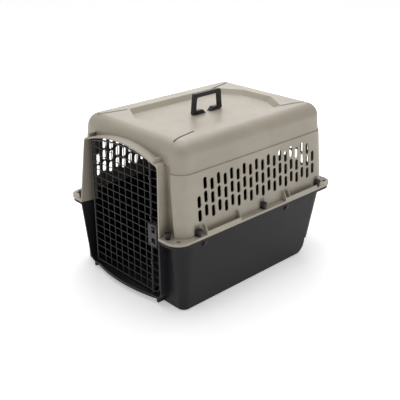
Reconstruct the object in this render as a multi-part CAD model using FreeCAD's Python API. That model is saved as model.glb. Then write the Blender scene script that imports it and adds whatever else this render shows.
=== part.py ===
import FreeCAD, Part
import math
import os

V = FreeCAD.Vector
os.makedirs("parts", exist_ok=True)

# Overall sizes, mm. X right, Y from the door to the rear, Z up, base underside at z = 0.
LENGTH, WIDTH, HEIGHT = 711.0, 533.0, 559.0
SEAM_Z = 230.0            # parting plane between the two shells
ROOF_Z = 507.0            # top of the roof rims
ROOF_FLOOR_Z = 492.0      # floor of the sunken roof panel
PANEL_SLOPE = 14.0        # run of the panel's sloped sides
BELT_Z = 421.0            # step in the upper walls
BELT_STEP = 3.0
WALL = 3.0
DRAFT, REAR_DRAFT = 0.085, 0.03

# Wall positions at the parting plane
SIDE_X, FRONT_Y, REAR_Y = 250.0, -331.0, 333.0
CORNER_R = 50.0
ROOF_FILLET = 42.0

# Lower tub
TUB_DRAFT_SIDE, TUB_DRAFT_FRONT, TUB_DRAFT_REAR = 0.03, 0.065, 0.335
TUB_CORNER_BASE = 22.0
BASE_FILLET = 4.5
STEP_Z, STEP_BACK, STEP_R = 50.0, 27.0, 47.0

# Flanges
FLANGE_R = 45.0
FLANGE_T = 8.0            # height of the upper flange edge
LOWER_FLANGE_T = 10.0
FLANGE_SKIN = 3.0
LOWER_INSET = 2.0
FLANGE_TOP = SEAM_Z + FLANGE_T

# Vent slots
SLOT_W, SLOT_H, SLOT_PITCH = 14.5, 35.5, 26.72
SLOT_ROWS = (383.8, 343.3, 302.3)
SLOT_DROP = 9.5
SIDE_COLUMNS, SIDE_SLOT_Y0 = 20, -247.3
REAR_COLUMNS = 14

# Bolts and hand nuts through both flanges
BOLT_R, BOLT_HOLE_R, NUT_R, NUT_H = 4.0, 4.3, 10.2, 20.0
SIDE_BOLT_X, SIDE_BOLT_Y = 255.5, (-262.0, 12.0, 278.0)
FRONT_BOLT = (209.0, -339.0)
REAR_BOLT = (120.0, 344.0)
POCKET_R, POCKET_H = 14.0, 32.0
TIE_HOLE_R, TIE_X, TIE_Y = 6.0, 243.0, 329.0

# Door surround
LIP_HALF_SEAM, LIP_HALF_TOP = 191.0, 175.0
LIP_Y_BASE, LIP_Y_SEAM, LIP_Y_TOP = -339.0, -355.5, -337.0
LIP_CORNER_R, LIP_CORNER_Z = 26.0, 48.0
ARCH_SIDE_Z, ARCH_SHOULDER_Z, ARCH_CROWN_Z = 430.0, 449.0, 475.0
JAMB_HALF, JAMB_Y, JAMB_WALL = 178.0, -300.0, 4.0
SILL_HALF, SILL_END_Y, SILL_FRONT_Y = 156.0, -334.0, -355.5
SILL_BOTTOM, SILL_TOP = 15.0, 26.0
EAR_W, EAR_BOTTOM = 9.0, 8.0
CHANNEL_TOP_Z = 443.0
RIB_X, RIB_T, RIB_FRONT_Y, RIB_REAR_Y = 152.5, 5.0, -336.0, -307.0
RIB_FOOT_Z, RIB_TOP_Z = 441.0, 462.0

# Door grille
DOOR_Y = -326.0
HINGE_X, DOOR_RIGHT_X = -156.0, 154.0
ROD_R, BORDER_R, WIRE_R = 2.5, 2.5, 1.25
DOOR_BOTTOM, DOOR_CROWN, DOOR_SHOULDER = 30.0, 459.0, 437.0
UPPER_BEND, LOWER_BEND = 14.0, 24.0
WIRE_X0, WIRE_PITCH_X, VERTICALS = -115.4, 29.96, 9
WIRE_Z0, WIRE_PITCH_Z, HORIZONTALS = 59.0, 24.3, 16
ROD_Z0, ROD_Z1 = 13.0, 450.0
STOP_X0, STOP_X1, STOP_Y = 108.0, 126.0, DOOR_Y + 5.0
RUNNING = 0.06            # radial clearance of every shaft that turns or slides

# Latch
LATCH_X0, LATCH_X1, LATCH_Z0, LATCH_Z1 = 123.0, 163.0, 192.0, 262.0
LATCH_MID = (LATCH_Z0 + LATCH_Z1) / 2
LATCH_FRONT, LATCH_BACK = DOOR_Y - 15.5, DOOR_Y - BORDER_R - 0.1
LATCH_ROD_X, LATCH_ROD_Y, LATCH_ROD_R = 132.0, DOOR_Y - 8.5, 2.0
LATCH_ROD_ENDS = (28.5, 449.0)
RIVET_R, RIVET_X, RIVET_Z = 1.2, (128.2, 159.5), (LATCH_Z0 + 4, LATCH_Z1 - 4)
TAB_X0, TAB_X1 = 141.0, 154.0
SLIDE_IN, SLIDE_OUT = 18.5, 26.5
SPRING_R, SPRING_WIRE_R, SPRING_PITCH = 2.75, 0.6, 3.9
SPRING_SEAT, SPRING_END = 2.7, 0.7

# Handle
HANDLE_Y, HANDLE_HALF_BASE, HANDLE_HALF_TOP = 13.0, 63.0, 57.5
HANDLE_BAR, HANDLE_THICK, EYE_R = 13.0, 11.0, 6.3
PIVOT_Z, PIVOT_R = ROOF_FLOOR_Z + 6.8, 2.5
BRACKET_LEN, BRACKET_H, BRACKET_W = 38.0, 13.0, 15.0


def box(x0, x1, y0, y1, z0, z1):
    return Part.makeBox(x1 - x0, y1 - y0, z1 - z0, V(x0, y0, z0))


def rod(start, direction, length, radius):
    return Part.makeCylinder(radius, length, V(*start), V(*direction))


def union(shapes):
    shapes = list(shapes)
    return shapes[0].multiFuse(shapes[1:]) if len(shapes) > 1 else shapes[0]


def mirror_x(shape):
    return shape.mirror(V(0, 0, 0), V(1, 0, 0))


def rounded_rect(half_x, y0, y1, radius, z):
    """Closed wire of a rectangle with rounded corners, symmetric in X."""
    edges, k = [], radius * math.sqrt(0.5)
    corners = ((half_x - radius, y0 + radius, 1, -1), (half_x - radius, y1 - radius, 1, 1),
               (-half_x + radius, y1 - radius, -1, 1), (-half_x + radius, y0 + radius, -1, -1))
    ends = []
    for cx, cy, sx, sy in corners:
        a, b = V(cx + sx * radius, cy, z), V(cx, cy + sy * radius, z)
        if sx * sy < 0:
            a, b = b, a
        edges.append(Part.Arc(a, V(cx + sx * k, cy + sy * k, z), b).toShape())
        ends.append((a, b))
    for i in range(4):
        edges.append(Part.makeLine(ends[i][1], ends[(i + 1) % 4][0]))
    return Part.Wire(Part.__sortEdges__(edges))


def prism(wire, vector):
    return Part.Face(wire).extrude(vector)


def polygon(points):
    return Part.makePolygon([V(*p) for p in points] + [V(*points[0])])


def edges_at(shape, z):
    box_z = [(e, e.BoundBox) for e in shape.Edges]
    return [e for e, b in box_z if abs(b.ZMin - z) < 0.01 and abs(b.ZMax - z) < 0.01]


def upper_body(inset, top, fillet):
    """Drafted upper body with the belt step, offset inwards by inset."""
    def section(z, step):
        rise = z - SEAM_Z
        d = DRAFT * rise + step + inset
        return rounded_rect(SIDE_X - d, FRONT_Y + d, REAR_Y - REAR_DRAFT * rise - step - inset,
                            CORNER_R - inset - step, z)
    low = Part.makeLoft([section(SEAM_Z - 1, 0), section(BELT_Z - inset, 0)], True, True)
    high = Part.makeLoft([section(BELT_Z - inset - 2, BELT_STEP), section(top, BELT_STEP)], True, True)
    high = high.makeFillet(fillet, edges_at(high, top))
    return low.fuse(high)


def roof_panel(grow, floor):
    """Octagonal sunken panel with sloped sides, larger by grow all round."""
    def ring(z, extra):
        g = grow + extra
        return polygon([(-151 - g, -178, z), (-66 - g * 0.4, -224 - g, z), (66 + g * 0.4, -224 - g, z),
                        (151 + g, -178, z), (151 + g, 196 + g * 0.4, z), (62 + g * 0.4, 252 + g, z),
                        (-62 - g * 0.4, 252 + g, z), (-151 - g, 196 + g * 0.4, z)])
    return Part.makeLoft([ring(floor, -PANEL_SLOPE), ring(ROOF_Z + 1, 1)], True, True)


def roof_grooves(half, floor):
    """Four grooves that run on from the panel's corners and bend outwards at their ends."""
    shapes = []
    for inner, bend, outer in ((-184.0, -249.0, -283.0), (190.0, 250.0, 284.0)):
        points = [(151.0, inner), (164.0, bend), (176.0, outer)]
        outline = [(x - half, y, floor) for x, y in points]
        outline += [(x + half, y, floor) for x, y in reversed(points)]
        shapes.append(prism(polygon(outline), V(0, 0, ROOF_Z + 2 - floor)))
    right = union(shapes)
    return right.fuse(mirror_x(right))


def side_channels(grow):
    """Recess in the front wall on each side of the door surround."""
    g = grow
    outline = polygon([(100, -370, FLANGE_TOP - 1 - g), (221 + g, -370, FLANGE_TOP - 1 - g),
                       (188 + g, -370, CHANNEL_TOP_Z + g), (100, -370, CHANNEL_TOP_Z + g)])
    right = prism(outline, V(0, 370 - 306 + g, 0))
    return right.fuse(mirror_x(right))


def arch_wire(y_of_z, half_low, half_top, inset):
    """Door opening outline: straight jambs, rounded shoulders and a crowned head."""
    def p(x, z):
        return V(x, y_of_z(z), z)
    side, shoulder, crown = ARCH_SIDE_Z, ARCH_SHOULDER_Z - inset, ARCH_CROWN_Z - inset
    low, top = half_low - inset, half_top - inset
    sx = top - 18
    mid = (top - 0.29 * (top - sx), side + 0.71 * (shoulder - side))
    edges = [Part.makeLine(p(-low, SEAM_Z), p(-top, side)),
             Part.Arc(p(-top, side), p(-mid[0], mid[1]), p(-sx, shoulder)).toShape(),
             Part.Arc(p(-sx, shoulder), p(0, crown), p(sx, shoulder)).toShape(),
             Part.Arc(p(sx, shoulder), p(mid[0], mid[1]), p(top, side)).toShape(),
             Part.makeLine(p(top, side), p(low, SEAM_Z)),
             Part.makeLine(p(low, SEAM_Z), p(-low, SEAM_Z))]
    return Part.Wire(edges)


def upper_lip_y(z):
    return LIP_Y_SEAM + (LIP_Y_TOP - LIP_Y_SEAM) * (z - SEAM_Z) / (ARCH_CROWN_Z - SEAM_Z)


def lower_lip_y(z):
    return LIP_Y_BASE + (LIP_Y_SEAM - LIP_Y_BASE) * z / SEAM_Z


def upper_surround(inset, forward=0.0, back=0.0):
    front = arch_wire(lambda z: upper_lip_y(z) - forward, LIP_HALF_SEAM, LIP_HALF_TOP, inset)
    rear = arch_wire(lambda z: JAMB_Y + back, JAMB_HALF, JAMB_HALF - 8, inset)
    return Part.makeLoft([front, rear], True, True)


def sill_wire(y_of_z, half_seam, inset):
    """Lower half of the opening outline, with rounded bottom corners."""
    def p(x, z):
        return V(x, y_of_z(z), z)
    top, r = half_seam - inset, LIP_CORNER_R - inset
    cx, cz, k = JAMB_HALF - LIP_CORNER_R, LIP_CORNER_Z, r * math.sqrt(0.5)
    edges = [Part.makeLine(p(-top, SEAM_Z), p(-cx - r, cz)),
             Part.Arc(p(-cx - r, cz), p(-cx - k, cz - k), p(-cx, cz - r)).toShape(),
             Part.makeLine(p(-cx, cz - r), p(cx, cz - r)),
             Part.Arc(p(cx, cz - r), p(cx + k, cz - k), p(cx + r, cz)).toShape(),
             Part.makeLine(p(cx + r, cz), p(top, SEAM_Z)),
             Part.makeLine(p(top, SEAM_Z), p(-top, SEAM_Z))]
    return Part.Wire(edges)


def lower_surround(inset, forward=0.0, back=0.0):
    front = sill_wire(lambda z: lower_lip_y(z) - forward, LIP_HALF_SEAM, inset)
    rear = sill_wire(lambda z: JAMB_Y + back, JAMB_HALF, inset)
    return Part.makeLoft([front, rear], True, True)


def flange_ring(z0, z1, skin_z0, skin_z1, inset):
    """Flange plate with a turned edge, hollow on one side."""
    outer = rounded_rect(WIDTH / 2 - inset, -LENGTH / 2 + inset, LENGTH / 2 - inset, FLANGE_R, z0)
    s = inset + FLANGE_SKIN
    hollow = rounded_rect(WIDTH / 2 - s, -LENGTH / 2 + s, LENGTH / 2 - s, FLANGE_R - FLANGE_SKIN, skin_z0)
    return prism(outer, V(0, 0, z1 - z0)).cut(prism(hollow, V(0, 0, skin_z1 - skin_z0)))


def slot(along, z, width=SLOT_W, height=SLOT_H):
    """Stadium outline in the YZ plane at x = 0."""
    r, h = width / 2, height / 2 - width / 2
    edges = [Part.makeLine(V(0, along - r, z - h), V(0, along - r, z + h)),
             Part.Arc(V(0, along - r, z + h), V(0, along, z + h + r), V(0, along + r, z + h)).toShape(),
             Part.makeLine(V(0, along + r, z + h), V(0, along + r, z - h)),
             Part.Arc(V(0, along + r, z - h), V(0, along, z - h - r), V(0, along - r, z - h)).toShape()]
    return Part.Wire(edges)


def vent_slots():
    cuts = []
    for column in range(SIDE_COLUMNS):
        y = SIDE_SLOT_Y0 + column * SLOT_PITCH
        rows = SLOT_ROWS[1:] if column in (0, SIDE_COLUMNS - 1) else SLOT_ROWS
        drop = 0.0 if column % 2 else SLOT_DROP
        for z in rows:
            cuts.append(prism(slot(y, z - drop), V(300, 0, 0)))
            cuts.append(prism(slot(y, z - drop), V(-300, 0, 0)))
    turn = FreeCAD.Rotation(V(0, 0, 1), 90)
    for column in range(REAR_COLUMNS):
        x = (column - (REAR_COLUMNS - 1) / 2) * SLOT_PITCH
        drop = 0.0 if column % 2 else SLOT_DROP
        for z in SLOT_ROWS:
            shape = prism(slot(-x, z - drop), V(60, 0, 0))
            shape.Placement = FreeCAD.Placement(V(0, 280, 0), turn)
            cuts.append(shape)
    return cuts


def bolt_positions():
    quarter = [(SIDE_BOLT_X, y) for y in SIDE_BOLT_Y] + [FRONT_BOLT, REAR_BOLT]
    return [(s * x, y) for s in (-1, 1) for x, y in quarter]


def nut_pockets(grow):
    """Hollows in the wall that make room for fingers round the hand nuts."""
    return union([rod((x, y, FLANGE_TOP), (0, 0, 1), POCKET_H + grow, POCKET_R + grow)
                  for x, y in bolt_positions() if y > FRONT_Y])


def flange_holes():
    holes = [rod((x, y, 200), (0, 0, 1), 60, BOLT_HOLE_R) for x, y in bolt_positions()]
    holes += [rod((sx * TIE_X, sy * TIE_Y, 200), (0, 0, 1), 60, TIE_HOLE_R)
              for sx in (-1, 1) for sy in (-1, 1)]
    return holes


def flange_stiffeners():
    """Raised edge rims and cross gussets on the side flanges."""
    z, edge, wall = FLANGE_TOP - 0.5, WIDTH / 2, SIDE_X - 3.5
    shapes = []
    for y0, y1 in ((-240.0, -98.0), (104.0, 262.0)):
        shapes.append(box(edge - 3, edge, y0, y1, z, z + 10.5))
    for y in (-240.0, -102.0, 104.0, 124.0):
        outline = polygon([(wall, y, z), (edge, y, z), (edge, y, z + 11), (edge - 9, y, z + 27),
                           (wall, y, z + 30)])
        shapes.append(prism(outline, V(0, 4, 0)))
    right = union(shapes)
    return right.fuse(mirror_x(right))


def make_upper_shell():
    outer = upper_body(0, ROOF_Z, ROOF_FILLET)
    inner = upper_body(WALL, ROOF_Z - WALL, ROOF_FILLET - WALL)
    outer = outer.cut(union([roof_panel(0, ROOF_FLOOR_Z), roof_grooves(3, ROOF_Z - 12), side_channels(0),
                             nut_pockets(0)]))
    inner = inner.cut(union([roof_panel(WALL, ROOF_FLOOR_Z - WALL),
                             roof_grooves(3 + WALL, ROOF_Z - 12 - WALL),
                             side_channels(WALL), nut_pockets(WALL)]))
    flange = flange_ring(SEAM_Z, FLANGE_TOP, SEAM_Z, FLANGE_TOP - FLANGE_SKIN, 0)
    boss = [rod((x, y, SEAM_Z), (0, 0, 1), FLANGE_T, 9.5) for x, y in bolt_positions()]
    boss += [rod((sx * TIE_X, sy * TIE_Y, SEAM_Z), (0, 0, 1), FLANGE_T, 9.5)
             for sx in (-1, 1) for sy in (-1, 1)]
    rim = prism(rounded_rect(WIDTH / 2, -LENGTH / 2, LENGTH / 2, FLANGE_R, SEAM_Z), V(0, 0, 60))
    shell = outer.fuse([flange, flange_stiffeners()] + [b.common(rim) for b in boss])
    shell = shell.cut(inner)
    ribs = [box(x - RIB_T / 2, x + RIB_T / 2, RIB_FRONT_Y, RIB_REAR_Y, RIB_FOOT_Z, RIB_TOP_Z)
            for x in (-RIB_X, RIB_X)]
    shell = shell.fuse([upper_surround(0), rod((HINGE_X, DOOR_Y, 440), (0, 0, 1), 12, 6.5)] + ribs)
    stop = box(STOP_X0, STOP_X1, STOP_Y, JAMB_Y, 438, ARCH_CROWN_Z)
    shell = shell.cut(upper_surround(JAMB_WALL, 4, 4).cut(stop))
    shell = shell.cut([rod((HINGE_X, DOOR_Y, 430), (0, 0, 1), ROD_Z1 + 0.3 - 430, ROD_R + RUNNING)])
    shell = shell.cut(flange_holes() + vent_slots())
    shell = shell.cut(box(-300, 300, -400, 400, SEAM_Z - 5, SEAM_Z))
    return shell.removeSplitter()


def lower_body(inset):
    """Drafted tub, offset inwards by inset, with the set-back rounded foot of its rear wall."""
    def section(z):
        depth = SEAM_Z - z
        radius = CORNER_R + (TUB_CORNER_BASE - CORNER_R) * depth / SEAM_Z
        return rounded_rect(SIDE_X - 2 - TUB_DRAFT_SIDE * depth - inset,
                            FRONT_Y + 4 + TUB_DRAFT_FRONT * depth + inset,
                            REAR_Y - TUB_DRAFT_REAR * depth - inset, radius - inset, z)
    body = Part.makeLoft([section(inset), section(SEAM_Z)], True, True)
    body = body.makeFillet(BASE_FILLET - inset, edges_at(body, inset))
    yc = REAR_Y - TUB_DRAFT_REAR * (SEAM_Z - STEP_Z) - STEP_BACK - STEP_R
    r, top = STEP_R - inset, STEP_Z + inset
    k = r * math.sqrt(0.5)

    def p(y, z):
        return V(-300, y, z)
    edges = [Part.makeLine(p(yc, -5), p(yc, STEP_R - r)),
             Part.Arc(p(yc, STEP_R - r), p(yc + k, STEP_R - k), p(yc + r, STEP_R)).toShape(),
             Part.makeLine(p(yc + r, STEP_R), p(yc + r, top)),
             Part.makeLine(p(yc + r, top), p(400, top)),
             Part.makeLine(p(400, top), p(400, -5)),
             Part.makeLine(p(400, -5), p(yc, -5))]
    return body.cut(prism(Part.Wire(edges), V(600, 0, 0)))


def sill(wall, y_back, z0, z1):
    """Bowed threshold in front of the door."""
    half = SILL_HALF - wall
    edges = [Part.Arc(V(-half, SILL_END_Y + wall, z0), V(0, SILL_FRONT_Y + wall, z0),
                      V(half, SILL_END_Y + wall, z0)).toShape(),
             Part.makeLine(V(half, SILL_END_Y + wall, z0), V(half, y_back, z0)),
             Part.makeLine(V(half, y_back, z0), V(-half, y_back, z0)),
             Part.makeLine(V(-half, y_back, z0), V(-half, SILL_END_Y + wall, z0))]
    return prism(Part.Wire(edges), V(0, 0, z1 - z0))


def make_lower_shell():
    top = SEAM_Z
    flange = flange_ring(top - LOWER_FLANGE_T, top, top - LOWER_FLANGE_T, top - FLANGE_SKIN, LOWER_INSET)
    edge = WIDTH / 2 - LOWER_INSET
    webs = []
    for y in (-240.0, 124.0):
        outline = polygon([(SIDE_X - 12, y, 222), (edge - 3, y, 222), (SIDE_X - 4, y, 190)])
        webs.append(prism(outline, V(0, 13, 0)))
        webs.append(box(SIDE_X - 12, SIDE_X, y, y + 138, 197, 222))
    webs = union(webs)
    notch = union([box(SIDE_X - 8, SIDE_X + 5, y, y + 9, 188, 198) for y in (-114.0, 244.0)])
    webs = webs.cut(notch)
    rim = prism(rounded_rect(edge, -LENGTH / 2 + LOWER_INSET, LENGTH / 2 - LOWER_INSET, FLANGE_R,
                             top - LOWER_FLANGE_T), V(0, 0, 60))
    boss = [rod((x, y, top - 6), (0, 0, 1), 6, 8.5).common(rim) for x, y in bolt_positions()]
    boss += [rod((sx * TIE_X, sy * TIE_Y, top - 6), (0, 0, 1), 6, 9.5).common(rim)
             for sx in (-1, 1) for sy in (-1, 1)]
    shell = lower_body(0).fuse([flange, webs, mirror_x(webs)] + boss).cut(lower_body(WALL))
    ears = [box(x - EAR_W / 2, x + EAR_W / 2, SILL_END_Y - 5, -306, EAR_BOTTOM, SILL_TOP - 1)
            for x in (-SILL_HALF, SILL_HALF)]
    shell = shell.fuse([lower_surround(0), sill(0, -304, SILL_BOTTOM, SILL_TOP),
                        rod((HINGE_X, DOOR_Y, ROD_Z0 - 4), (0, 0, 1), 20, 6.5)] + ears)
    stop = box(STOP_X0, STOP_X1, STOP_Y, JAMB_Y, SILL_BOTTOM, 38)
    shell = shell.cut(lower_surround(JAMB_WALL, 6, 6).cut(stop))
    shell = shell.cut(sill(JAMB_WALL, -312, SILL_BOTTOM - 1, SILL_TOP - JAMB_WALL))
    shell = shell.cut([rod((HINGE_X, DOOR_Y, ROD_Z0 - 0.5), (0, 0, 1), 40, ROD_R + RUNNING)])
    shell = shell.cut(flange_holes())
    shell = shell.cut(box(-300, 300, -400, 400, SEAM_Z, SEAM_Z + 5))
    return shell.removeSplitter()


def arc_door():
    """Centre and radius of the crowned top of the door."""
    rise = DOOR_CROWN - DOOR_SHOULDER
    radius = (DOOR_RIGHT_X ** 2 + rise ** 2) / (2 * rise)
    return DOOR_CROWN - radius, radius


def door_top(x):
    zc, radius = arc_door()
    return zc + math.sqrt(radius ** 2 - x ** 2)


def make_border():
    """Rim wire from the foot of the hinge rod round to its top."""
    zc, radius = arc_door()
    r, foot, x1, x0, y = UPPER_BEND, LOWER_BEND, DOOR_RIGHT_X, HINGE_X + ROD_R, DOOR_Y
    cx = x1 - r
    cz = zc + math.sqrt((radius - r) ** 2 - cx ** 2)
    norm = math.hypot(cx, cz - zc)
    tangent = (cx / norm * radius, zc + (cz - zc) / norm * radius)
    away = (cx / norm + 1, (cz - zc) / norm)
    mid_len = math.hypot(*away)
    k = foot * math.sqrt(0.5)
    mid_x = (tangent[0] + x0) / 2

    def p(x, z):
        return V(x, y, z)
    edges = [Part.makeLine(p(x0, DOOR_BOTTOM), p(x1 - foot, DOOR_BOTTOM)),
             Part.Arc(p(x1 - foot, DOOR_BOTTOM), p(x1 - foot + k, DOOR_BOTTOM + foot - k),
                      p(x1, DOOR_BOTTOM + foot)).toShape(),
             Part.makeLine(p(x1, DOOR_BOTTOM + foot), p(x1, cz)),
             Part.Arc(p(x1, cz), p(cx + away[0] / mid_len * r, cz + away[1] / mid_len * r),
                      p(*tangent)).toShape(),
             Part.Arc(p(*tangent), p(mid_x, door_top(mid_x)), p(x0, door_top(x0))).toShape()]
    ring = Part.Wire(Part.makeCircle(BORDER_R, p(x0, DOOR_BOTTOM), V(1, 0, 0)))
    return Part.Wire(edges).makePipeShell([ring], True, False).cut(hinge_rod())


def vertical_positions():
    return [WIRE_X0 + i * WIRE_PITCH_X for i in range(VERTICALS)]


def make_verticals():
    low = DOOR_BOTTOM + BORDER_R
    wires = []
    for x in vertical_positions():
        high = min(door_top(x - WIRE_R), door_top(x + WIRE_R)) - BORDER_R - 0.1
        wires.append(rod((x, DOOR_Y + WIRE_R, low), (0, 0, 1), high - low, WIRE_R))
    return Part.makeCompound(wires)


def make_horizontals():
    wires = []
    for i in range(HORIZONTALS):
        z = WIRE_Z0 + i * WIRE_PITCH_Z
        x0, x1 = HINGE_X + ROD_R, DOOR_RIGHT_X - BORDER_R
        wires.append(rod((x0, DOOR_Y - WIRE_R, z), (1, 0, 0), x1 - x0, WIRE_R))
    return Part.makeCompound(wires)


def make_latch_plate():
    x0, x1, z0, z1 = LATCH_X0, LATCH_X1, LATCH_Z0, LATCH_Z1
    body = box(x0, x1, LATCH_FRONT, LATCH_BACK, z0, z1)
    body = body.makeFillet(3, [e for e in body.Edges
                               if e.BoundBox.YLength > 5 or e.BoundBox.YMax < LATCH_FRONT + 0.1])
    body = body.cut(box(x0 + 3, TAB_X1 + 1.5, LATCH_FRONT + 3, LATCH_BACK + 1, z0 + 7, z1 - 7))
    body = body.fuse(box(x0 + 2, TAB_X1 + 3, LATCH_FRONT + 2, LATCH_BACK, LATCH_MID - 2, LATCH_MID + 2))
    for s in (-1, 1):
        window = box(TAB_X0 - 1, TAB_X1 + 1, LATCH_FRONT - 1, LATCH_FRONT + 4,
                     LATCH_MID + s * 18 - 9.5, LATCH_MID + s * 18 + 9.5)
        body = body.cut(window)
    body = body.cut(rivet_holes())
    return body.cut(rod((LATCH_ROD_X, LATCH_ROD_Y, z0 - 1), (0, 0, 1), z1 - z0 + 2, LATCH_ROD_R + RUNNING))


def rivet_holes():
    return [rod((x, LATCH_FRONT - 1, z), (0, 1, 0), 30, RIVET_R + 0.1) for x in RIVET_X for z in RIVET_Z]


def make_latch_backing():
    y0 = DOOR_Y + BORDER_R
    plate = box(LATCH_X0, LATCH_X1, y0, y0 + 2.5, LATCH_Z0, LATCH_Z1)
    plate = plate.makeFillet(3, [e for e in plate.Edges if e.BoundBox.YLength > 2])
    return plate.cut(rivet_holes())


def make_latch_rivets():
    y0, y1 = LATCH_FRONT, DOOR_Y + BORDER_R + 2.5
    rivets = []
    for x in RIVET_X:
        for z in RIVET_Z:
            shank = rod((x, y0, z), (0, 1, 0), y1 - y0, RIVET_R)
            heads = [rod((x, y, z), (0, 1, 0), 1, 2 * RIVET_R) for y in (y0 - 1, y1)]
            rivets.append(shank.fuse(heads))
    return Part.makeCompound(rivets)


def make_slide(sign):
    """Sliding block with a finger tab standing out through the latch plate."""
    z0, z1 = sorted((LATCH_MID + sign * SLIDE_IN, LATCH_MID + sign * SLIDE_OUT))
    block = box(LATCH_ROD_X - 5, TAB_X1, LATCH_FRONT + 3.4, LATCH_BACK - 0.4, z0, z1)
    tab = box(TAB_X0, TAB_X1, LATCH_FRONT - 4, LATCH_FRONT + 4, z0 + 1.5, z1 - 1.5)
    tab = tab.makeFillet(1.5, [e for e in tab.Edges if e.BoundBox.YMax < LATCH_FRONT - 3])
    block = block.fuse(tab)
    end = z1 if sign > 0 else z0
    socket = rod((LATCH_ROD_X, LATCH_ROD_Y, end - sign * 5), (0, 0, sign), 6, LATCH_ROD_R)
    return block.cut(socket).removeSplitter()


def latch_rod(sign):
    start = LATCH_MID + sign * (SLIDE_OUT - 5)
    end = LATCH_ROD_ENDS[sign > 0]
    shaft = rod((LATCH_ROD_X, LATCH_ROD_Y, start), (0, 0, sign), abs(end - start), LATCH_ROD_R)
    tip = [e for e in shaft.Edges if abs(e.BoundBox.ZMax - end) < 0.1 and abs(e.BoundBox.ZMin - end) < 0.1]
    return shaft.makeChamfer(0.6, tip)


def make_rod_guides():
    """Wire saddles that hold the two rods against the grille."""
    guides = []
    for i in (1, 3, 9, 14):
        z = WIRE_Z0 + i * WIRE_PITCH_Z
        block = box(LATCH_ROD_X - 4, LATCH_ROD_X + 4, LATCH_ROD_Y - 4, DOOR_Y - BORDER_R, z - 3, z + 3)
        block = block.makeFillet(2.5, [e for e in block.Edges
                                       if e.BoundBox.ZLength > 5 and e.BoundBox.YMax < LATCH_ROD_Y])
        guides.append(block.cut(rod((LATCH_ROD_X, LATCH_ROD_Y, z - 4), (0, 0, 1), 8,
                                    LATCH_ROD_R + RUNNING)))
    return Part.makeCompound(guides)


def make_spring(sign):
    """Compression spring between the fixed rib and one slide."""
    low, high = sorted((LATCH_MID + sign * SPRING_SEAT, LATCH_MID + sign * (SLIDE_IN - SPRING_END)))
    helix = Part.makeHelix(SPRING_PITCH, high - low, SPRING_R)
    helix.Placement = FreeCAD.Placement(V(LATCH_ROD_X, LATCH_ROD_Y, low), FreeCAD.Rotation())
    start = V(LATCH_ROD_X + SPRING_R, LATCH_ROD_Y, low)
    ring = Part.Wire(Part.makeCircle(SPRING_WIRE_R, start, V(0, 1, 0)))
    return Part.Wire(helix.Edges).makePipeShell([ring], True, True)


def make_bolt():
    head = prism(Part.makePolygon([V(6.2 * math.cos(a), 6.2 * math.sin(a), -5)
                                   for a in [math.radians(60 * i + 30) for i in range(7)]]), V(0, 0, 5))
    shank = rod((0, 0, -0.5), (0, 0, 1), 30, BOLT_R)
    return head.fuse(shank)


def make_nut():
    """Hand nut with a flared fluted head."""
    body = Part.makeCone(6.8, NUT_R, NUT_H - 4, V(0, 0, 0))
    body = body.fuse(rod((0, 0, NUT_H - 4), (0, 0, 1), 4, NUT_R))
    top = [e for e in body.Edges if e.BoundBox.ZMin > NUT_H - 0.1]
    body = body.makeFillet(2.0, top)
    flutes = []
    for i in range(8):
        a = math.radians(45 * i + 22.5)
        flutes.append(rod((11.2 * math.cos(a), 11.2 * math.sin(a), 5), (0, 0, 1), NUT_H, 2.2))
    return body.cut(flutes).cut(rod((0, 0, -1), (0, 0, 1), NUT_H - 2, BOLT_R))


def placed(shape, x, y, z):
    copy = shape.copy()
    copy.translate(V(x, y, z))
    return copy


def make_bolts():
    bolt = make_bolt()
    return Part.makeCompound([placed(bolt, x, y, SEAM_Z - 6) for x, y in bolt_positions()])


def make_nuts():
    nut = make_nut()
    return Part.makeCompound([placed(nut, x, y, FLANGE_TOP) for x, y in bolt_positions()])


def make_handle():
    yc, hb, ht = HANDLE_Y, HANDLE_HALF_BASE, HANDLE_HALF_TOP
    x = -HANDLE_THICK / 2
    outer = polygon([(x, yc - hb, PIVOT_Z), (x, yc - ht, HEIGHT),
                     (x, yc + ht, HEIGHT), (x, yc + hb, PIVOT_Z)])
    ib, it = hb - HANDLE_BAR, ht - HANDLE_BAR + 1
    inner = polygon([(x, yc - ib, PIVOT_Z - 1), (x, yc - it, HEIGHT - HANDLE_BAR),
                     (x, yc + it, HEIGHT - HANDLE_BAR), (x, yc + ib, PIVOT_Z - 1)])
    body = prism(outer, V(HANDLE_THICK, 0, 0))
    hole = prism(inner, V(HANDLE_THICK, 0, 0))
    hole = hole.makeFillet(8, [e for e in hole.Edges if e.BoundBox.XLength > 5
                               and e.BoundBox.ZMin > HEIGHT - 20])
    body = body.makeFillet(6, [e for e in body.Edges if e.BoundBox.XLength > 5
                               and e.BoundBox.ZMin > HEIGHT - 5])
    body = body.cut(hole)
    for y in (yc - hb, yc + ib):
        body = body.fuse(rod((0, y, PIVOT_Z), (0, 1, 0), HANDLE_BAR, EYE_R))
    body = body.removeSplitter()
    return body.cut(rod((0, yc - hb - 1, PIVOT_Z), (0, 1, 0), 2 * hb + 2, PIVOT_R + RUNNING))


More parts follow.
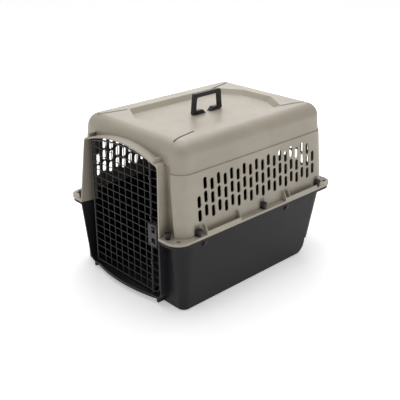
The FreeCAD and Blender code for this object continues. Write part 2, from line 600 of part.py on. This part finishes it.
def make_bracket(sign):
    """Pivot foot on the roof panel; its pin enters the eye of the handle leg."""
    outer = HANDLE_Y + sign * (HANDLE_HALF_BASE - HANDLE_BAR - 1.3)
    tip = outer - sign * BRACKET_LEN
    x, z = -BRACKET_W / 2, ROOF_FLOOR_Z
    outline = polygon([(x, outer, z), (x, outer, z + BRACKET_H), (x, tip + sign * 12, z + BRACKET_H),
                       (x, tip, z + 1.5), (x, tip, z)])
    body = prism(outline, V(BRACKET_W, 0, 0))
    body = body.makeFillet(1.5, [e for e in body.Edges if e.BoundBox.ZMin > z + BRACKET_H - 0.1])
    pin = rod((0, outer - sign * 3, PIVOT_Z), (0, sign, 0), 4.3 + HANDLE_BAR, PIVOT_R)
    return body.fuse(pin).removeSplitter()


def hinge_rod():
    return rod((HINGE_X, DOOR_Y, ROD_Z0), (0, 0, 1), ROD_Z1 - ROD_Z0, ROD_R)


PIECES = {
    "upper_shell": make_upper_shell,
    "lower_shell": make_lower_shell,
    "flange_bolts": make_bolts,
    "wing_nuts": make_nuts,
    "handle": make_handle,
    "handle_bracket_front": lambda: make_bracket(-1),
    "handle_bracket_rear": lambda: make_bracket(1),
    "door_hinge_rod": hinge_rod,
    "door_border_wire": make_border,
    "door_vertical_wires": make_verticals,
    "door_horizontal_wires": make_horizontals,
    "latch_plate": make_latch_plate,
    "latch_backing": make_latch_backing,
    "latch_rivets": make_latch_rivets,
    "latch_rod_guides": make_rod_guides,
    "latch_upper_slide": lambda: make_slide(1),
    "latch_lower_slide": lambda: make_slide(-1),
    "latch_upper_rod": lambda: latch_rod(1),
    "latch_lower_rod": lambda: latch_rod(-1),
    "latch_upper_spring": lambda: make_spring(1),
    "latch_lower_spring": lambda: make_spring(-1),
}

for name, build in PIECES.items():
    shape = build()
    shape.exportStep("parts/%s.step" % name)
    box_ = shape.BoundBox
    print("%-24s solids %3d valid %s  %.1f..%.1f  %.1f..%.1f  %.1f..%.1f" % (
        name, len(shape.Solids), shape.isValid(), box_.XMin, box_.XMax, box_.YMin, box_.YMax,
        box_.ZMin, box_.ZMax))
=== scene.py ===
import math

import bmesh
import bpy
from bpy.props import FloatProperty, FloatVectorProperty, IntProperty, PointerProperty
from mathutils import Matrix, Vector


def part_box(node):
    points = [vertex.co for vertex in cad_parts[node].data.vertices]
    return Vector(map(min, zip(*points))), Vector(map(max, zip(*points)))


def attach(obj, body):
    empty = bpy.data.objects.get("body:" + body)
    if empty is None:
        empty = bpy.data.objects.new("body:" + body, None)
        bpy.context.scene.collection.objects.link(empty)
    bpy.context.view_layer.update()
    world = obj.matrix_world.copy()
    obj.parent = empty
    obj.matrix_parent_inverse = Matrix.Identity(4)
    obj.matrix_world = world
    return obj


bl_info = {
    "name": "Pet Transport Carrier",
    "version": (1, 0, 0),
    "blender": (4, 5, 0),
    "location": "View3D > Sidebar > Carrier",
    "description": "Finishes a two-part moulded pet carrier with a wire door and a folding handle",
    "category": "Object",
}

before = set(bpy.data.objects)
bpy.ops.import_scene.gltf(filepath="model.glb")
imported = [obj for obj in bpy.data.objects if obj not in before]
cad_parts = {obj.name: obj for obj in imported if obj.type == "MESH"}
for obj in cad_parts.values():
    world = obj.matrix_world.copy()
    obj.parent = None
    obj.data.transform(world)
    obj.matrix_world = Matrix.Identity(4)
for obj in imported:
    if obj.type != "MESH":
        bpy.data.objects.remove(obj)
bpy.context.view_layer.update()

SAME_POINT = 1e-6        # vertices closer than this are one vertex
ROOF_MARGIN = 0.001      # the roof's inner face lies this far under the handle's feet
FADE = 0.004             # depth over which the painted shade inside the cabin comes in
WELD_RINGS = 5
WELD_SET_BACK = 0.0006   # end welds sit this far into the wire they close on
END_WELD = 1.15          # end welds are larger than crossing welds by this factor
FLOOR_HALF, FLOOR_DROP = 60.0, 0.001
# Painted light: the floor glows though it is no lamp. The glow is dimmer near the carrier and full
# beyond FLOOR_FAR, which lightens the carrier's shadow and makes the far floor white.
FLOOR_NEAR, FLOOR_FAR, FLOOR_NEAR_GLOW = 0.5, 1.8, 0.55
SENSOR = 36.0

# Area lights: name, place and size in metres
LIGHTS = (("key", (-0.4, 0.3, 2.6), 2.6), ("side", (2.8, 0.4, 1.0), 1.8),
          ("front", (-1.2, -2.6, 1.5), 1.8), ("back", (-2.0, 1.9, 1.5), 2.0))


def corners(node):
    """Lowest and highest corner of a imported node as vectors."""
    low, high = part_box(node)
    return Vector(low), Vector(high)


# ---------------------------------------------------------------- settings

class MouldedSettings(bpy.types.PropertyGroup):
    """Colours and surface of the moulded shells and fittings, and the painted shade on their inner
    faces.
    """
    upper_colour: FloatVectorProperty(
        name="Upper shell", description="Colour of the upper shell",
        subtype="COLOR", size=3, min=0, max=1, default=(0.378, 0.336, 0.270))
    lower_colour: FloatVectorProperty(
        name="Lower shell", description="Colour of the lower shell",
        subtype="COLOR", size=3, min=0, max=1, default=(0.0142, 0.0128, 0.0150))
    handle_colour: FloatVectorProperty(
        name="Handle", description="Colour of the handle and its feet",
        subtype="COLOR", size=3, min=0, max=1, default=(0.013, 0.011, 0.013))
    nut_colour: FloatVectorProperty(
        name="Hand nuts", description="Colour of the hand nuts",
        subtype="COLOR", size=3, min=0, max=1, default=(0.011, 0.0075, 0.006))
    latch_colour: FloatVectorProperty(
        name="Latch", description="Colour of the latch mouldings",
        subtype="COLOR", size=3, min=0, max=1, default=(0.027, 0.025, 0.029))
    grain_size: FloatProperty(
        name="Grain size", description="Width of one pebble of the moulded grain",
        unit="LENGTH", min=0.0005, max=0.01, default=0.0016)
    grain_depth: FloatProperty(
        name="Grain depth", description="Height of the moulded grain",
        unit="LENGTH", min=0, max=0.001, default=0.00010)
    edge_radius: FloatProperty(
        name="Edge radius", description="Radius that moulded edges appear to have",
        unit="LENGTH", min=0, max=0.005, default=0.0012)
    # Painted shade: faces inside the cabin are darkened to this share of their colour, standing in for
    # the shade inside.
    cabin_painted_shade: FloatProperty(
        name="Inner shade", description="Brightness of the faces inside, as a share of the colour",
        min=0, max=1, default=0.22)
    # The widths, drafts and doorway depth below only shape where the painted inner shade falls.
    wall_half: FloatProperty(
        name="Half width inside", description="Half the cabin's width at the seam between the shells",
        unit="LENGTH", min=0.05, max=0.5, default=0.2485)
    doorway_half: FloatProperty(
        name="Doorway half width", description="Half the widest opening of the door surround",
        unit="LENGTH", min=0.05, max=0.5, default=0.1875)
    upper_draft: FloatProperty(
        name="Upper draft", description="Lean of the upper side walls per unit of height",
        min=0, max=0.5, default=0.085)
    lower_draft: FloatProperty(
        name="Lower draft", description="Lean of the lower side walls per unit of height",
        min=0, max=0.5, default=0.03)
    doorway_depth: FloatProperty(
        name="Doorway depth", description="Depth of the door surround, where the inner faces begin",
        unit="LENGTH", min=0, max=0.2, default=0.056)


class WireSettings(bpy.types.PropertyGroup):
    """Door wire finish and welds."""
    coat_colour: FloatVectorProperty(
        name="Wire coating", description="Colour of the coated door wires",
        subtype="COLOR", size=3, min=0, max=1, default=(0.022, 0.022, 0.024))
    weld_radius: FloatProperty(
        name="Weld radius", description="Radius of the weld spot where two wires cross",
        unit="LENGTH", min=0.0005, max=0.004, default=0.0019)
    weld_sides: IntProperty(
        name="Weld sides", description="Divisions round each weld spot", min=6, max=24, default=10)


class StageSettings(bpy.types.PropertyGroup):
    """Camera and light."""
    azimuth: FloatProperty(
        name="Azimuth", description="Camera angle about the vertical, from straight in front",
        subtype="ANGLE", default=math.radians(46.4))
    elevation: FloatProperty(
        name="Elevation", description="Camera angle above the horizontal",
        subtype="ANGLE", default=math.radians(23.75))
    distance: FloatProperty(
        name="Distance", description="Distance from the camera to the point it looks at",
        unit="LENGTH", min=0.5, default=2.299)
    target: FloatVectorProperty(
        name="Target", description="Point the camera looks at",
        subtype="TRANSLATION", unit="LENGTH", size=3, default=(0.01174, -0.02665, 0.2006))
    lens: FloatProperty(
        name="Lens", description="Focal length in millimetres on a 36 mm sensor",
        min=20, max=200, default=62.76)
    floor_colour: FloatVectorProperty(
        name="Floor", description="Colour of the floor",
        subtype="COLOR", size=3, min=0, max=1, default=(0.93, 0.93, 0.93))
    # Painted light: the floor is no lamp, and its glow lightens the shadow on it and whitens the far
    # floor.
    floor_glow: FloatProperty(
        name="Floor glow", description="Light given off by the floor, as by a lit studio table",
        min=0, default=0.7)
    key_power: FloatProperty(
        name="Key light", description="Power of the large light above",
        unit="POWER", min=0, default=52.0)
    side_power: FloatProperty(
        name="Side light", description="Power of the light at the right",
        unit="POWER", min=0, default=7.0)
    front_power: FloatProperty(
        name="Front light", description="Power of the light at the front left",
        unit="POWER", min=0, default=8.0)
    back_power: FloatProperty(
        name="Back light", description="Power of the light behind, which gives the roof its sheen",
        unit="POWER", min=0, default=20.0)
    world_strength: FloatProperty(
        name="Ambient light", description="Strength of the even surrounding light",
        min=0, default=0.30)


# ---------------------------------------------------------------- shader maths

class Signal:
    """A socket that can stand in Python expressions."""

    def __init__(self, shader, socket):
        self.shader, self.socket = shader, socket

    def maths(self, operation, *values):
        return self.shader.node("ShaderNodeMath", {"operation": operation},
                                dict(enumerate(values))).out(0)

    def __add__(self, other):
        return self.maths("ADD", self, other)

    def __radd__(self, other):
        return self.maths("ADD", other, self)

    def __sub__(self, other):
        return self.maths("SUBTRACT", self, other)

    def __rsub__(self, other):
        return self.maths("SUBTRACT", other, self)

    def __mul__(self, other):
        return self.maths("MULTIPLY", self, other)

    def size(self):
        return self.maths("ABSOLUTE", self)

    def between(self, low, high):
        """0 below low, 1 above high, smooth between."""
        return self.shader.node("ShaderNodeMapRange", {"interpolation_type": "SMOOTHSTEP"},
                                {"Value": self, "From Min": low, "From Max": high}).out("Result")


class Node:
    """A shader node whose outputs come as signals."""

    def __init__(self, shader, node):
        self.shader, self.bl = shader, node

    def out(self, key):
        return Signal(self.shader, self.bl.outputs[key])


class Shader:
    """One material built from expressions."""

    def __init__(self, name):
        self.material = bpy.data.materials.new(name)
        self.material.use_nodes = True
        self.tree = self.material.node_tree
        self.tree.nodes.clear()
        coordinates = self.node("ShaderNodeTexCoord")
        self.place, self.facing = coordinates.out("Object"), coordinates.out("Normal")

    def node(self, kind, settings=None, sockets=None):
        node = self.tree.nodes.new(kind)
        for key, value in (settings or {}).items():
            setattr(node, key, value)
        for key, value in (sockets or {}).items():
            if isinstance(value, Signal):
                self.tree.links.new(value.socket, node.inputs[key])
            else:
                node.inputs[key].default_value = value
        return Node(self, node)

    def noise(self, size, detail=2.0, roughness=0.5, along=None):
        """Noise from 0 to 1 with features about size metres wide."""
        return self.node("ShaderNodeTexNoise", None,
                         {"Vector": along or self.place, "Scale": 1 / size, "Detail": detail,
                          "Roughness": roughness}).out("Fac")

    def pebbles(self, size, smooth=0.6):
        """Rounded cells from 0 at their middle to 1 at their edge."""
        return self.node("ShaderNodeTexVoronoi", {"feature": "SMOOTH_F1"},
                         {"Vector": self.place, "Scale": 1 / size, "Smoothness": smooth}).out("Distance")

    def stretched(self, scale):
        return self.vector("MULTIPLY", self.place, scale)

    def vector(self, operation, first, second=(0, 0, 0), output="Vector"):
        return self.node("ShaderNodeVectorMath", {"operation": operation},
                         {0: first, 1: second}).out(output)

    def mix(self, amount, first, second):
        """Blend of two colours."""
        node = self.node("ShaderNodeMix", {"data_type": "RGBA"}, {0: amount})
        for key, value in ((6, first), (7, second)):
            if isinstance(value, Signal):
                self.tree.links.new(value.socket, node.bl.inputs[key])
            else:
                node.bl.inputs[key].default_value = (*value, 1)
        return node.out(2)

    def edge_normal(self, radius):
        return self.node("ShaderNodeBevel", {"samples": 6}, {"Radius": radius}).out("Normal")

    def bump(self, height, distance, normal=None):
        sockets = {"Height": height, "Distance": distance, "Strength": 1.0}
        if normal is not None:
            sockets["Normal"] = normal
        return self.node("ShaderNodeBump", None, sockets).out("Normal")

    def finish(self, **sockets):
        names = {"colour": "Base Color", "roughness": "Roughness", "metallic": "Metallic",
                 "normal": "Normal", "specular": "Specular IOR Level",
                 "glow_colour": "Emission Color", "glow": "Emission Strength"}
        body = self.node("ShaderNodeBsdfPrincipled", None,
                         {names[key]: value for key, value in sockets.items()})
        surface = self.node("ShaderNodeOutputMaterial")
        self.tree.links.new(body.bl.outputs["BSDF"], surface.bl.inputs["Surface"])
        return self.material


def tinted(colour, factor):
    return tuple(min(1.0, c * factor) for c in colour)


def cabin_painted_shade_mask(s, settings, draft):
    """Mask of the painted shade: 1 on faces that look into the cabin, fading through the doorway, and 0
    outside.
    """
    base, rim = corners("lower_shell")
    seam = rim.z
    middle = (base.z + corners("upper_shell")[1].z) / 2
    roof = corners("handle_bracket_front")[0].z - ROOF_MARGIN
    jamb = base.y + settings.doorway_depth
    outward = s.vector("DOT_PRODUCT", s.vector("SUBTRACT", s.place, (0, 0, middle)), s.facing, "Value")
    split = s.node("ShaderNodeSeparateXYZ", None, {0: s.place})
    x, y, z = (split.out(axis) for axis in "XYZ")
    wall = settings.wall_half - (z - seam).size() * draft
    limit = y.between(jamb, jamb + FADE) * (wall - settings.doorway_half) + settings.doorway_half
    inside = (limit - x.size()).between(0.0, 0.0005) * (roof - z).between(0.0, ROOF_MARGIN)
    return (0 - outward).between(0.0, 0.03) * inside * y.between(base.y + FADE, jamb)


def moulded(name, colour, settings, roughness, dust, dust_amount, specular, draft):
    """Injection-moulded plastic: pebbled grain, slow colour drift, handling marks, a little dust and
    painted shade on the faces inside the cabin.
    """
    s = Shader(name)
    drift = s.noise(0.16, 3.0)
    blotch = s.noise(0.035, 4.0, 0.6)
    pebble = s.pebbles(settings.grain_size)
    fine = s.noise(settings.grain_size * 0.45, 2.0)
    settled = s.noise(0.05, 6.0, 0.72).between(0.58, 0.80) * s.noise(0.004, 3.0).between(0.35, 0.7)
    base = s.mix(drift.between(0.3, 0.7), tinted(colour, 0.94), tinted(colour, 1.06))
    base = s.mix(blotch.between(0.42, 0.72) * 0.35, base, tinted(colour, 0.88))
    base = s.mix(settled * dust_amount, base, dust)
    # Painted shade: faces inside the cabin are darkened to a share of the colour.
    base = s.mix(cabin_painted_shade_mask(s, settings, draft), base, tinted(colour, settings.cabin_painted_shade))
    scuffs = s.noise(0.0016, 3.0, 0.6, s.stretched((0.06, 0.3, 1.0))).between(0.66, 0.78)
    scuffs = scuffs * s.noise(0.09, 2.0).between(0.52, 0.68)
    rough = (roughness - 0.05) + blotch * 0.10 + scuffs * 0.10 + settled * 0.10
    relief = (1 - pebble) * 0.7 + fine * 0.3
    normal = s.bump(relief, settings.grain_depth, s.edge_normal(settings.edge_radius))
    return s.finish(colour=base, roughness=rough, normal=normal, specular=specular)


def satin(name, colour, settings, roughness=0.42, dust_amount=0.08):
    """Small smooth moulding: light satin texture, moulding flow and rubbed patches."""
    s = Shader(name)
    fine = s.noise(0.0006, 3.0, 0.6)
    flow = s.noise(0.012, 3.0, 0.55, s.stretched((1.0, 0.35, 1.0)))
    rubbed = s.noise(0.02, 4.0, 0.65).between(0.5, 0.72)
    lint = s.noise(0.003, 4.0, 0.7).between(0.60, 0.78)
    base = s.mix(flow.between(0.3, 0.7), tinted(colour, 0.9), tinted(colour, 1.12))
    base = s.mix(rubbed * 0.25, base, tinted(colour, 1.5))
    base = s.mix(lint * dust_amount, base, (0.4, 0.38, 0.35))
    rough = roughness + flow * 0.08 - rubbed * 0.08
    normal = s.bump(fine, 0.00004, s.edge_normal(settings.edge_radius))
    return s.finish(colour=base, roughness=rough, normal=normal)


def coated_wire(name, settings):
    """Dipped black wire: slight orange peel and thin spots where the steel greys through."""
    s = Shader(name)
    peel = s.noise(0.0022, 2.0)
    drift = s.noise(0.05, 3.0)
    thin = s.noise(0.011, 5.0, 0.7).between(0.62, 0.76)
    base = s.mix(drift.between(0.3, 0.7), tinted(settings.coat_colour, 0.85),
                 tinted(settings.coat_colour, 1.15))
    base = s.mix(thin * 0.25, base, (0.16, 0.16, 0.165))
    rough = 0.34 + peel * 0.12 + thin * 0.1
    return s.finish(colour=base, roughness=rough, normal=s.bump(peel, 0.00012))


def zinc(name):
    """Zinc-plated steel of bolts and springs."""
    s = Shader(name)
    crystals = s.pebbles(0.0015, 0.1)
    stain = s.noise(0.006, 4.0, 0.6)
    base = s.mix(stain.between(0.4, 0.7), (0.52, 0.53, 0.54), (0.36, 0.35, 0.33))
    rough = 0.28 + crystals * 0.15 + stain * 0.1
    return s.finish(colour=base, roughness=rough, metallic=1.0, normal=s.bump(crystals, 0.00002))


# ---------------------------------------------------------------- helpers

def node_object(name):
    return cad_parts[name]


def islands(node):
    """Lowest and highest corner of each separate solid in a node."""
    build = bmesh.new()
    build.from_mesh(node_object(node).data)
    bmesh.ops.remove_doubles(build, verts=build.verts, dist=SAME_POINT)
    left, found = set(build.verts), []
    while left:
        queue = [left.pop()]
        points = []
        while queue:
            vert = queue.pop()
            points.append(vert.co.copy())
            for edge in vert.link_edges:
                other = edge.other_vert(vert)
                if other in left:
                    left.remove(other)
                    queue.append(other)
        found.append((Vector(map(min, zip(*points))), Vector(map(max, zip(*points)))))
    build.free()
    return found


def coat(nodes, material):
    """Give carried-over nodes one finished material."""
    for name in nodes:
        obj = node_object(name)
        obj.data.materials.clear()
        obj.data.materials.append(material)


def new_piece(name, build, material, body):
    """Turn a finished bmesh into an object that rides on a body."""
    mesh = bpy.data.meshes.new(name)
    build.to_mesh(mesh)
    build.free()
    for face in mesh.polygons:
        face.use_smooth = True
    obj = bpy.data.objects.new(name, mesh)
    bpy.context.scene.collection.objects.link(obj)
    mesh.materials.append(material)
    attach(obj, body)


# ---------------------------------------------------------------- operators

class CARRIER_OT_shells(bpy.types.Operator):
    """Finish the two moulded shells"""
    bl_idname = "carrier.shells"
    bl_label = "Shells"

    def execute(self, context):
        settings = context.scene.carrier_moulded
        coat(["upper_shell"], moulded("beige_moulding", settings.upper_colour, settings, 0.42,
                                      (0.30, 0.27, 0.22), 0.25, 0.55, settings.upper_draft))
        coat(["lower_shell"], moulded("charcoal_moulding", settings.lower_colour, settings, 0.44,
                                      (0.16, 0.155, 0.15), 0.10, 0.22, settings.lower_draft))
        return {"FINISHED"}


class CARRIER_OT_handle(bpy.types.Operator):
    """Finish the folding handle and its two feet"""
    bl_idname = "carrier.handle"
    bl_label = "Handle"

    def execute(self, context):
        settings = context.scene.carrier_moulded
        coat(["handle", "handle_bracket_front", "handle_bracket_rear"],
             satin("handle_moulding", settings.handle_colour, settings, dust_amount=0.04))
        return {"FINISHED"}


class CARRIER_OT_fasteners(bpy.types.Operator):
    """Finish the hand nuts and the bolts under the flanges"""
    bl_idname = "carrier.fasteners"
    bl_label = "Nuts and bolts"

    def execute(self, context):
        settings = context.scene.carrier_moulded
        coat(["wing_nuts"], satin("nut_moulding", settings.nut_colour, settings, 0.5, 0.02))
        coat(["flange_bolts", "latch_upper_spring", "latch_lower_spring"], zinc("zinc_plate"))
        return {"FINISHED"}


class CARRIER_OT_door(bpy.types.Operator):
    """Finish the wire door"""
    bl_idname = "carrier.door"
    bl_label = "Wire door"

    def execute(self, context):
        wire = coated_wire("coated_wire", context.scene.carrier_wire)
        coat(["door_hinge_rod", "door_border_wire", "door_vertical_wires", "door_horizontal_wires",
              "latch_upper_rod", "latch_lower_rod"], wire)
        self.add_welds(context.scene.carrier_wire, wire)
        return {"FINISHED"}

    def add_welds(self, settings, wire):
        """A squeezed weld spot wherever an upright crosses a cross wire, and at the ends of both."""
        uprights = islands("door_vertical_wires")
        crosswires = islands("door_horizontal_wires")
        middle_y = corners("door_vertical_wires")[0].y
        build = bmesh.new()
        for low, high in uprights:
            x = (low.x + high.x) / 2
            for low_cross, high_cross in crosswires:
                z = (low_cross.z + high_cross.z) / 2
                self.add_spot(build, settings, (x, middle_y, z), 1.0)
            for z in (low.z, high.z):
                self.add_spot(build, settings, (x, middle_y + WELD_SET_BACK, z), END_WELD)
        for low, high in crosswires:
            z = (low.z + high.z) / 2
            for x in (low.x, high.x):
                self.add_spot(build, settings, (x, middle_y - WELD_SET_BACK, z), END_WELD)
        new_piece("weld_spots", build, wire, "door")

    def add_spot(self, build, settings, centre, factor):
        """A flattened bead with a sunken rim, thicker across the wires than along the door."""
        sides, radius = settings.weld_sides, settings.weld_radius * factor
        loops = []
        for ring in range(1, WELD_RINGS):
            angle = math.pi * ring / WELD_RINGS
            width = radius * math.sin(angle) ** 0.8
            loops.append([build.verts.new(Vector(centre) + Vector((
                width * math.cos(math.tau * i / sides), 0.75 * radius * math.cos(angle),
                width * math.sin(math.tau * i / sides)))) for i in range(sides)])
        for first, second in zip(loops, loops[1:]):
            for i in range(sides):
                j = (i + 1) % sides
                build.faces.new((first[i], second[i], second[j], first[j]))
        build.faces.new(loops[0])
        build.faces.new(reversed(loops[-1]))


class CARRIER_OT_latch(bpy.types.Operator):
    """Finish the latch mouldings"""
    bl_idname = "carrier.latch"
    bl_label = "Latch"

    def execute(self, context):
        settings = context.scene.carrier_moulded
        coat(["latch_plate", "latch_backing", "latch_rivets", "latch_rod_guides",
              "latch_upper_slide", "latch_lower_slide"],
             satin("latch_moulding", settings.latch_colour, settings, 0.45))
        return {"FINISHED"}


class CARRIER_OT_stage(bpy.types.Operator):
    """Floor, soft light and camera"""
    bl_idname = "carrier.stage"
    bl_label = "Stage"

    def execute(self, context):
        stage = context.scene.carrier_stage
        scene = context.scene
        self.make_floor(scene, stage)
        self.make_world(scene, stage)
        target = Vector(stage.target)
        for name, place, size in LIGHTS:
            data = bpy.data.lights.new(name + "_light", "AREA")
            data.shape, data.size, data.energy = "SQUARE", size, getattr(stage, name + "_power")
            lamp = bpy.data.objects.new(name + "_light", data)
            lamp.location = place
            lamp.rotation_euler = (target - Vector(place)).to_track_quat("-Z", "Y").to_euler()
            scene.collection.objects.link(lamp)
        self.make_camera(scene, stage, target)
        scene.view_settings.view_transform = "Standard"
        return {"FINISHED"}

    def make_floor(self, scene, stage):
        s = Shader("studio_floor")
        grain = s.noise(0.02, 3.0)
        tone = s.mix(grain, tinted(stage.floor_colour, 0.99), tinted(stage.floor_colour, 1.01))
        reach = s.vector("LENGTH", s.place, output="Value")
        # Painted light: the floor's glow is weaker near the carrier and full further out.
        glow = s.mix(reach.between(FLOOR_NEAR, FLOOR_FAR), tinted((1, 1, 1), FLOOR_NEAR_GLOW), (1, 1, 1))
        material = s.finish(colour=tone, roughness=0.9, glow_colour=glow, glow=stage.floor_glow)
        mesh = bpy.data.meshes.new("floor")
        mesh.from_pydata([(x * FLOOR_HALF, y * FLOOR_HALF, -FLOOR_DROP)
                          for x, y in ((-1, -1), (1, -1), (1, 1), (-1, 1))], [], [(0, 1, 2, 3)])
        mesh.materials.append(material)
        floor = bpy.data.objects.new("floor", mesh)
        scene.collection.objects.link(floor)

    def make_world(self, scene, stage):
        world = bpy.data.worlds.new("soft_studio")
        world.use_nodes = True
        background = world.node_tree.nodes["Background"]
        background.inputs["Color"].default_value = (1, 1, 1, 1)
        background.inputs["Strength"].default_value = stage.world_strength
        scene.world = world

    def make_camera(self, scene, stage, target):
        data = bpy.data.cameras.new("camera")
        data.sensor_width, data.lens = SENSOR, stage.lens
        camera = bpy.data.objects.new("camera", data)
        back = Vector((math.sin(stage.azimuth) * math.cos(stage.elevation),
                       -math.cos(stage.azimuth) * math.cos(stage.elevation), math.sin(stage.elevation)))
        camera.location = target + back * stage.distance
        camera.rotation_euler = (-back).to_track_quat("-Z", "Y").to_euler()
        scene.collection.objects.link(camera)
        scene.camera = camera


# ---------------------------------------------------------------- panel and registration

OPERATORS = (CARRIER_OT_shells, CARRIER_OT_handle, CARRIER_OT_fasteners, CARRIER_OT_door,
             CARRIER_OT_latch, CARRIER_OT_stage)


class CARRIER_PT_panel(bpy.types.Panel):
    bl_idname = "CARRIER_PT_panel"
    bl_label = "Pet Transport Carrier"
    bl_space_type = "VIEW_3D"
    bl_region_type = "UI"
    bl_category = "Carrier"

    def draw(self, context):
        for operator in OPERATORS:
            self.layout.operator(operator.bl_idname)


GROUPS = {"carrier_moulded": MouldedSettings, "carrier_wire": WireSettings,
          "carrier_stage": StageSettings}


def register():
    for cls in (*GROUPS.values(), *OPERATORS, CARRIER_PT_panel):
        bpy.utils.register_class(cls)
    for name, group in GROUPS.items():
        setattr(bpy.types.Scene, name, PointerProperty(type=group))


def unregister():
    for name in GROUPS:
        delattr(bpy.types.Scene, name)
    for cls in reversed((*GROUPS.values(), *OPERATORS, CARRIER_PT_panel)):
        bpy.utils.unregister_class(cls)


def main():
    register()
    bpy.ops.carrier.shells()
    bpy.ops.carrier.handle()
    bpy.ops.carrier.fasteners()
    bpy.ops.carrier.door()
    bpy.ops.carrier.latch()
    bpy.ops.carrier.stage()


if __name__ == "__main__":
    main()
